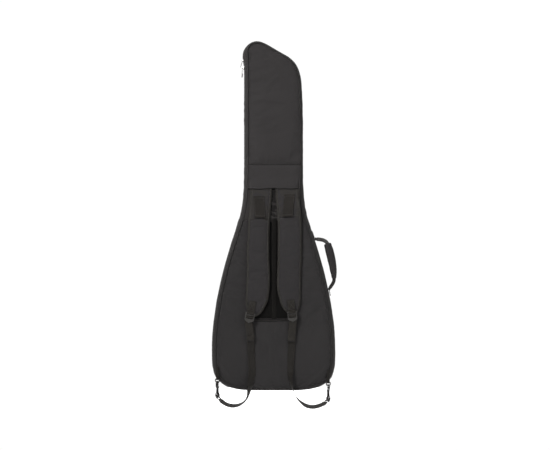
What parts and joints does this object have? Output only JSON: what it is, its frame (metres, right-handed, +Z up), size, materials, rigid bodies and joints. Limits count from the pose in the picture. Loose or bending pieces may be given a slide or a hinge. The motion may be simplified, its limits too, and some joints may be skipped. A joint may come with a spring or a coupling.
{
  "type": "padded gig bag",
  "caption": "Padded zip-up instrument gig bag with a tapered neck, two backpack straps hooked to corner rings, a side carry handle and a front zip pocket.",
  "frame": {"origin": "the point on the head end that the bag hangs by, on the body's centre line", "axes": "+Z up the neck, towards the head end; +Y out of the front, pocket side; -Y out of the back panel with the straps; +X right as the back panel is seen"},
  "size_m": [0.4399, 0.1341, 1.2835],
  "materials": {
    "shell_nylon": "matte woven polyester",
    "panel_nylon": "matte woven polyester, padded",
    "piping": "matte piping",
    "foam": "open foam",
    "lining": "brushed lining",
    "air_mesh": "spacer mesh",
    "webbing": "woven webbing",
    "plastic": "moulded acetal",
    "nickel": "nickel plated",
    "zip_tape": "woven tape",
    "zip_coil": "coiled nylon",
    "guard_leather": "smooth"
  },
  "bodies": {
    "back_shell": {"back_shell_skin": "shell_nylon", "back_shell_foam": "foam", "back_shell_lining": "lining", "back_piping": "piping", "neck_back_panel": "panel_nylon", "strap_cover_flap": "panel_nylon", "yoke_panel": "panel_nylon", "mesh_back_pad": "air_mesh", "mesh_hem_binding": "panel_nylon", "main_zip_tape_back": "zip_tape", "main_zip_teeth_back": "zip_coil", "spine_fold": "shell_nylon", "neck_cradle": "foam", "end_pin_pad": "foam", "corner_tab_left": "webbing", "corner_tab_right": "webbing", "strap_webbing_left": "webbing", "strap_webbing_right": "webbing", "handle_anchor_upper": "webbing", "handle_anchor_lower": "webbing"},
    "front_shell": {"front_shell_skin": "shell_nylon", "front_shell_foam": "foam", "front_shell_lining": "lining", "front_piping": "piping", "main_zip_tape_front": "zip_tape", "main_zip_teeth_front": "zip_coil", "front_pocket_panel": "shell_nylon", "front_pocket_zip": "zip_coil", "bridge_guard_patch": "guard_leather"},
    "lower_slider": {"main_zip_lower_slider": "nickel"},
    "lower_pull": {"main_zip_lower_pull": "nickel"},
    "upper_slider": {"main_zip_upper_slider": "nickel"},
    "upper_pull": {"main_zip_upper_pull": "nickel"},
    "pocket_slider": {"front_pocket_slider": "nickel"},
    "pocket_pull": {"front_pocket_pull": "nickel"},
    "carry_handle": {"handle_webbing": "webbing", "handle_grip": "panel_nylon"},
    "strap_left": {"strap_pad_left": "panel_nylon", "strap_tab_left": "webbing", "buckle_tab_left": "webbing"},
    "buckle_left": {"ladder_lock_left": "plastic", "webbing_tail_left": "webbing"},
    "ring_left": {"d_ring_left": "nickel"},
    "hook_left": {"snap_hook_left": "plastic"},
    "gate_left": {"hook_gate_left": "plastic"},
    "strap_right": {"strap_pad_right": "panel_nylon", "strap_tab_right": "webbing", "buckle_tab_right": "webbing"},
    "buckle_right": {"ladder_lock_right": "plastic", "webbing_tail_right": "webbing"},
    "ring_right": {"d_ring_right": "nickel"},
    "hook_right": {"snap_hook_right": "plastic"},
    "gate_right": {"hook_gate_right": "plastic"}
  },
  "joints": [
    {"name": "lid_hinge", "type": "hinge", "parent": "back_shell", "child": "front_shell", "pos_m": [0.2231, 0.008, -1.0468], "axis": [0.1331, 0, -0.9911], "range_deg": [0, 120], "deforming": ["spine_fold"]},
    {"name": "main_zip_lower_slide", "type": "slide", "parent": "back_shell", "child": "lower_slider", "axis": [0, 0, -1], "range_m": [0, 0.34]},
    {"name": "main_zip_lower_pull_swing", "type": "hinge", "parent": "lower_slider", "child": "lower_pull", "pos_m": [-0.1105, 0.008, -0.065], "axis": [0, 1, 0], "range_deg": [0, 35]},
    {"name": "main_zip_upper_slide", "type": "slide", "parent": "back_shell", "child": "upper_slider", "axis": [0, 0, 1], "range_m": [0, 0.018]},
    {"name": "main_zip_upper_pull_swing", "type": "hinge", "parent": "upper_slider", "child": "upper_pull", "pos_m": [-0.1105, 0.008, -0.0388], "axis": [0, 1, 0], "range_deg": [0, 140]},
    {"name": "front_pocket_slide", "type": "slide", "parent": "front_shell", "child": "pocket_slider", "axis": [1, 0, 0], "range_m": [0, 0.2]},
    {"name": "front_pocket_pull_swing", "type": "hinge", "parent": "pocket_slider", "child": "pocket_pull", "pos_m": [-0.102, 0.05455, -0.68273], "axis": [0, 0.0098, -1], "range_deg": [0, 165]},
    {"name": "carry_handle_swing", "type": "hinge", "parent": "back_shell", "child": "carry_handle", "pos_m": [0.196, -0.018, -0.8433], "axis": [0.2747, 0, -0.9615], "range_deg": [0, 60], "deforming": ["handle_webbing"]},
    {"name": "strap_left_swing", "type": "hinge", "parent": "back_shell", "child": "strap_left", "pos_m": [0, -0.0515, -0.4943], "axis": [-1, 0, 0], "range_deg": [0, 45], "deforming": ["strap_webbing_left"]},
    {"name": "buckle_left_tilt", "type": "hinge", "parent": "strap_left", "child": "buckle_left", "pos_m": [-0.08028, -0.068, -0.92882], "axis": [-0.9781, 0, 0.2079], "range_deg": [0, 40], "deforming": ["strap_webbing_left"]},
    {"name": "ring_left_swing", "type": "hinge", "parent": "back_shell", "child": "ring_left", "pos_m": [-0.1964, -0.052, -1.1603], "axis": [-1, 0, 0], "range_deg": [-25, 60], "deforming": ["strap_webbing_left"]},
    {"name": "hook_left_swing", "type": "hinge", "parent": "ring_left", "child": "hook_left", "pos_m": [-0.1964, -0.052, -1.1718], "axis": [-1, 0, 0], "range_deg": [-20, 45], "deforming": ["strap_webbing_left"]},
    {"name": "hook_gate_left_press", "type": "hinge", "parent": "hook_left", "child": "gate_left", "pos_m": [-0.1964, -0.0588, -1.1826], "axis": [-1, 0, 0], "range_deg": [0, 15], "stiffness_Nm_per_rad": 0.01},
    {"name": "strap_right_swing", "type": "hinge", "parent": "back_shell", "child": "strap_right", "pos_m": [0, -0.0515, -0.4943], "axis": [-1, 0, 0], "range_deg": [0, 45], "deforming": ["strap_webbing_right"]},
    {"name": "buckle_right_tilt", "type": "hinge", "parent": "strap_right", "child": "buckle_right", "pos_m": [0.06414, -0.068, -0.92464], "axis": [-0.9945, 0, -0.1045], "range_deg": [0, 40], "deforming": ["strap_webbing_right"]},
    {"name": "ring_right_swing", "type": "hinge", "parent": "back_shell", "child": "ring_right", "pos_m": [0.1915, -0.052, -1.172], "axis": [-1, 0, 0], "range_deg": [-25, 60], "deforming": ["strap_webbing_right"]},
    {"name": "hook_right_swing", "type": "hinge", "parent": "ring_right", "child": "hook_right", "pos_m": [0.1915, -0.052, -1.1835], "axis": [-1, 0, 0], "range_deg": [-20, 45], "deforming": ["strap_webbing_right"]},
    {"name": "hook_gate_right_press", "type": "hinge", "parent": "hook_right", "child": "gate_right", "pos_m": [0.1915, -0.0588, -1.1943], "axis": [-1, 0, 0], "range_deg": [0, 15], "stiffness_Nm_per_rad": 0.01}
  ]
}
